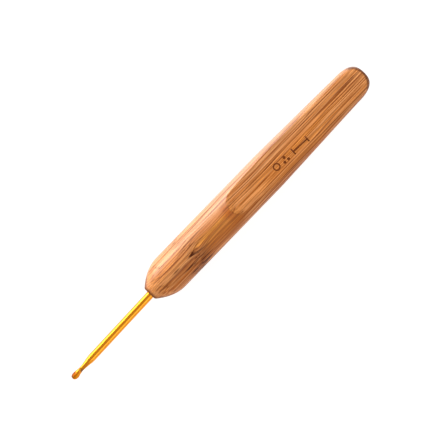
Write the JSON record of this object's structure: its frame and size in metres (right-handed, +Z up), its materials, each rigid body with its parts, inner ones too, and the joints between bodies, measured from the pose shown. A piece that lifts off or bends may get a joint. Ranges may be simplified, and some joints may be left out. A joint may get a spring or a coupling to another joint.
{
  "type": "crochet hook",
  "caption": "Crochet hook: a thin gold metal rod with a rounded hooked head and tapered neck, glued into a round bamboo handle with a long flat thumb rest and a domed butt.",
  "frame": {"origin": "on the surface the hook lies on, under the middle of its box", "axes": "+X runs along the handle from the hook's tip towards the butt, +Z is up, away from the surface and out of the thumb flat"},
  "size_m": [0.1526, 0.0148, 0.0147],
  "materials": {
    "carbonised_bamboo": "satin",
    "gold_anodised_aluminium": "gloss",
    "clear_adhesive": "gloss"
  },
  "bodies": {
    "root": {"bamboo_handle": "carbonised_bamboo", "aluminium_hook": "gold_anodised_aluminium", "adhesive_sleeve": "clear_adhesive"}
  },
  "joints": []
}
